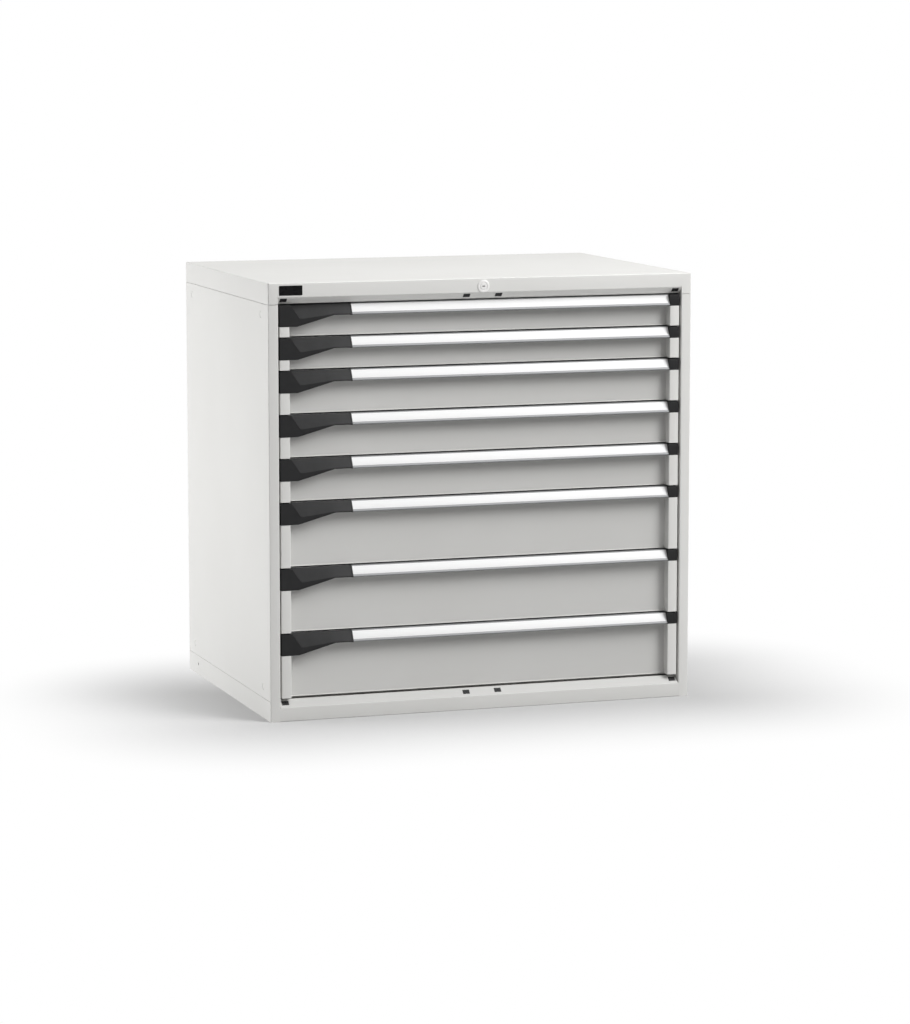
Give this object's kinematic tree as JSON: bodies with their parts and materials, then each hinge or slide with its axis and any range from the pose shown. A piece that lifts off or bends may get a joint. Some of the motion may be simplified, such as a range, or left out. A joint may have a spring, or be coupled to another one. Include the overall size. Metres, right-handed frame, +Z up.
{
  "type": "drawer cabinet",
  "caption": "Steel workshop cabinet with full-width sliding drawers, grip bars with catch levers, and a central lock.",
  "frame": {"origin": "middle of the footprint on the floor", "axes": "+Z up, +Y to the back, the drawers open towards -Y, +X to the right as seen from the front"},
  "size_m": [1.023, 0.7264, 1],
  "materials": {
    "grey_paint": "fine textured powder coat",
    "zinc_steel": "bright zinc plated",
    "bar_aluminium": "satin anodised",
    "white_strip": "smooth",
    "black_plastic": "fine grained",
    "plate_black": "smooth, bare",
    "lock_chrome": "nickel plated"
  },
  "bodies": {
    "cabinet": {"left_side_panel": "grey_paint", "right_side_panel": "grey_paint", "back_panel": "grey_paint", "top_cover": "grey_paint", "base": "grey_paint", "uprights": "zinc_steel", "cabinet_runners": "zinc_steel", "slot_plugs": "black_plastic", "name_plate": "plate_black", "lock_body": "lock_chrome"},
    "lock_core": {"lock_core": "lock_chrome"},
    "lock_bar": {"lock_bar": "zinc_steel"},
    "drawer_1": {"drawer_1_tray": "grey_paint", "drawer_1_handle_bar": "bar_aluminium", "drawer_1_label_strip": "white_strip", "drawer_1_bar_ends": "black_plastic"},
    "catch_1": {"drawer_1_catch": "black_plastic"},
    "runners_1": {"drawer_1_mid_runners": "zinc_steel"},
    "drawer_2": {"drawer_2_tray": "grey_paint", "drawer_2_handle_bar": "bar_aluminium", "drawer_2_label_strip": "white_strip", "drawer_2_bar_ends": "black_plastic"},
    "catch_2": {"drawer_2_catch": "black_plastic"},
    "runners_2": {"drawer_2_mid_runners": "zinc_steel"},
    "drawer_3": {"drawer_3_tray": "grey_paint", "drawer_3_handle_bar": "bar_aluminium", "drawer_3_label_strip": "white_strip", "drawer_3_bar_ends": "black_plastic"},
    "catch_3": {"drawer_3_catch": "black_plastic"},
    "runners_3": {"drawer_3_mid_runners": "zinc_steel"},
    "drawer_4": {"drawer_4_tray": "grey_paint", "drawer_4_handle_bar": "bar_aluminium", "drawer_4_label_strip": "white_strip", "drawer_4_bar_ends": "black_plastic"},
    "catch_4": {"drawer_4_catch": "black_plastic"},
    "runners_4": {"drawer_4_mid_runners": "zinc_steel"},
    "drawer_5": {"drawer_5_tray": "grey_paint", "drawer_5_handle_bar": "bar_aluminium", "drawer_5_label_strip": "white_strip", "drawer_5_bar_ends": "black_plastic"},
    "catch_5": {"drawer_5_catch": "black_plastic"},
    "runners_5": {"drawer_5_mid_runners": "zinc_steel"},
    "drawer_6": {"drawer_6_tray": "grey_paint", "drawer_6_handle_bar": "bar_aluminium", "drawer_6_label_strip": "white_strip", "drawer_6_bar_ends": "black_plastic"},
    "catch_6": {"drawer_6_catch": "black_plastic"},
    "runners_6": {"drawer_6_mid_runners": "zinc_steel"},
    "drawer_7": {"drawer_7_tray": "grey_paint", "drawer_7_handle_bar": "bar_aluminium", "drawer_7_label_strip": "white_strip", "drawer_7_bar_ends": "black_plastic"},
    "catch_7": {"drawer_7_catch": "black_plastic"},
    "runners_7": {"drawer_7_mid_runners": "zinc_steel"},
    "drawer_8": {"drawer_8_tray": "grey_paint", "drawer_8_handle_bar": "bar_aluminium", "drawer_8_label_strip": "white_strip", "drawer_8_bar_ends": "black_plastic"},
    "catch_8": {"drawer_8_catch": "black_plastic"},
    "runners_8": {"drawer_8_mid_runners": "zinc_steel"}
  },
  "joints": [
    {"name": "lock_turn", "type": "hinge", "parent": "cabinet", "child": "lock_core", "pos_m": [0, -0.3625, 0.9815], "axis": [0, 1, 0], "range_deg": [0, 90]},
    {"name": "lock_bar_slide", "type": "slide", "parent": "cabinet", "child": "lock_bar", "axis": [-1, 0, 0], "range_m": [0, 0.006]},
    {"name": "drawer_1_slide", "type": "slide", "parent": "cabinet", "child": "drawer_1", "axis": [0, -1, 0], "range_m": [0, 0.6]},
    {"name": "runners_1_slide", "type": "slide", "parent": "cabinet", "child": "runners_1", "axis": [0, -1, 0], "range_m": [0, 0.3]},
    {"name": "catch_1_pull", "type": "hinge", "parent": "drawer_1", "child": "catch_1", "pos_m": [-0.4, -0.343, 0.939], "axis": [-1, 0, 0], "range_deg": [0, 7], "stiffness_Nm_per_rad": 0.6},
    {"name": "drawer_2_slide", "type": "slide", "parent": "cabinet", "child": "drawer_2", "axis": [0, -1, 0], "range_m": [0, 0.6]},
    {"name": "runners_2_slide", "type": "slide", "parent": "cabinet", "child": "runners_2", "axis": [0, -1, 0], "range_m": [0, 0.3]},
    {"name": "catch_2_pull", "type": "hinge", "parent": "drawer_2", "child": "catch_2", "pos_m": [-0.4, -0.343, 0.864], "axis": [-1, 0, 0], "range_deg": [0, 7], "stiffness_Nm_per_rad": 0.6},
    {"name": "drawer_3_slide", "type": "slide", "parent": "cabinet", "child": "drawer_3", "axis": [0, -1, 0], "range_m": [0, 0.6]},
    {"name": "runners_3_slide", "type": "slide", "parent": "cabinet", "child": "runners_3", "axis": [0, -1, 0], "range_m": [0, 0.3]},
    {"name": "catch_3_pull", "type": "hinge", "parent": "drawer_3", "child": "catch_3", "pos_m": [-0.4, -0.343, 0.789], "axis": [-1, 0, 0], "range_deg": [0, 7], "stiffness_Nm_per_rad": 0.6},
    {"name": "drawer_4_slide", "type": "slide", "parent": "cabinet", "child": "drawer_4", "axis": [0, -1, 0], "range_m": [0, 0.6]},
    {"name": "runners_4_slide", "type": "slide", "parent": "cabinet", "child": "runners_4", "axis": [0, -1, 0], "range_m": [0, 0.3]},
    {"name": "catch_4_pull", "type": "hinge", "parent": "drawer_4", "child": "catch_4", "pos_m": [-0.4, -0.343, 0.689], "axis": [-1, 0, 0], "range_deg": [0, 7], "stiffness_Nm_per_rad": 0.6},
    {"name": "drawer_5_slide", "type": "slide", "parent": "cabinet", "child": "drawer_5", "axis": [0, -1, 0], "range_m": [0, 0.6]},
    {"name": "runners_5_slide", "type": "slide", "parent": "cabinet", "child": "runners_5", "axis": [0, -1, 0], "range_m": [0, 0.3]},
    {"name": "catch_5_pull", "type": "hinge", "parent": "drawer_5", "child": "catch_5", "pos_m": [-0.4, -0.343, 0.589], "axis": [-1, 0, 0], "range_deg": [0, 7], "stiffness_Nm_per_rad": 0.6},
    {"name": "drawer_6_slide", "type": "slide", "parent": "cabinet", "child": "drawer_6", "axis": [0, -1, 0], "range_m": [0, 0.6]},
    {"name": "runners_6_slide", "type": "slide", "parent": "cabinet", "child": "runners_6", "axis": [0, -1, 0], "range_m": [0, 0.3]},
    {"name": "catch_6_pull", "type": "hinge", "parent": "drawer_6", "child": "catch_6", "pos_m": [-0.4, -0.343, 0.489], "axis": [-1, 0, 0], "range_deg": [0, 7], "stiffness_Nm_per_rad": 0.6},
    {"name": "drawer_7_slide", "type": "slide", "parent": "cabinet", "child": "drawer_7", "axis": [0, -1, 0], "range_m": [0, 0.6]},
    {"name": "runners_7_slide", "type": "slide", "parent": "cabinet", "child": "runners_7", "axis": [0, -1, 0], "range_m": [0, 0.3]},
    {"name": "catch_7_pull", "type": "hinge", "parent": "drawer_7", "child": "catch_7", "pos_m": [-0.4, -0.343, 0.339], "axis": [-1, 0, 0], "range_deg": [0, 7], "stiffness_Nm_per_rad": 0.6},
    {"name": "drawer_8_slide", "type": "slide", "parent": "cabinet", "child": "drawer_8", "axis": [0, -1, 0], "range_m": [0, 0.6]},
    {"name": "runners_8_slide", "type": "slide", "parent": "cabinet", "child": "runners_8", "axis": [0, -1, 0], "range_m": [0, 0.3]},
    {"name": "catch_8_pull", "type": "hinge", "parent": "drawer_8", "child": "catch_8", "pos_m": [-0.4, -0.343, 0.189], "axis": [-1, 0, 0], "range_deg": [0, 7], "stiffness_Nm_per_rad": 0.6}
  ],
  "couplings": [
    {"joint": "lock_turn", "follows": "lock_bar_slide", "rad_per_m": 261.8},
    {"joint": "runners_1_slide", "follows": "drawer_1_slide", "ratio": 0.5},
    {"joint": "runners_2_slide", "follows": "drawer_2_slide", "ratio": 0.5},
    {"joint": "runners_3_slide", "follows": "drawer_3_slide", "ratio": 0.5},
    {"joint": "runners_4_slide", "follows": "drawer_4_slide", "ratio": 0.5},
    {"joint": "runners_5_slide", "follows": "drawer_5_slide", "ratio": 0.5},
    {"joint": "runners_6_slide", "follows": "drawer_6_slide", "ratio": 0.5},
    {"joint": "runners_7_slide", "follows": "drawer_7_slide", "ratio": 0.5},
    {"joint": "runners_8_slide", "follows": "drawer_8_slide", "ratio": 0.5}
  ]
}
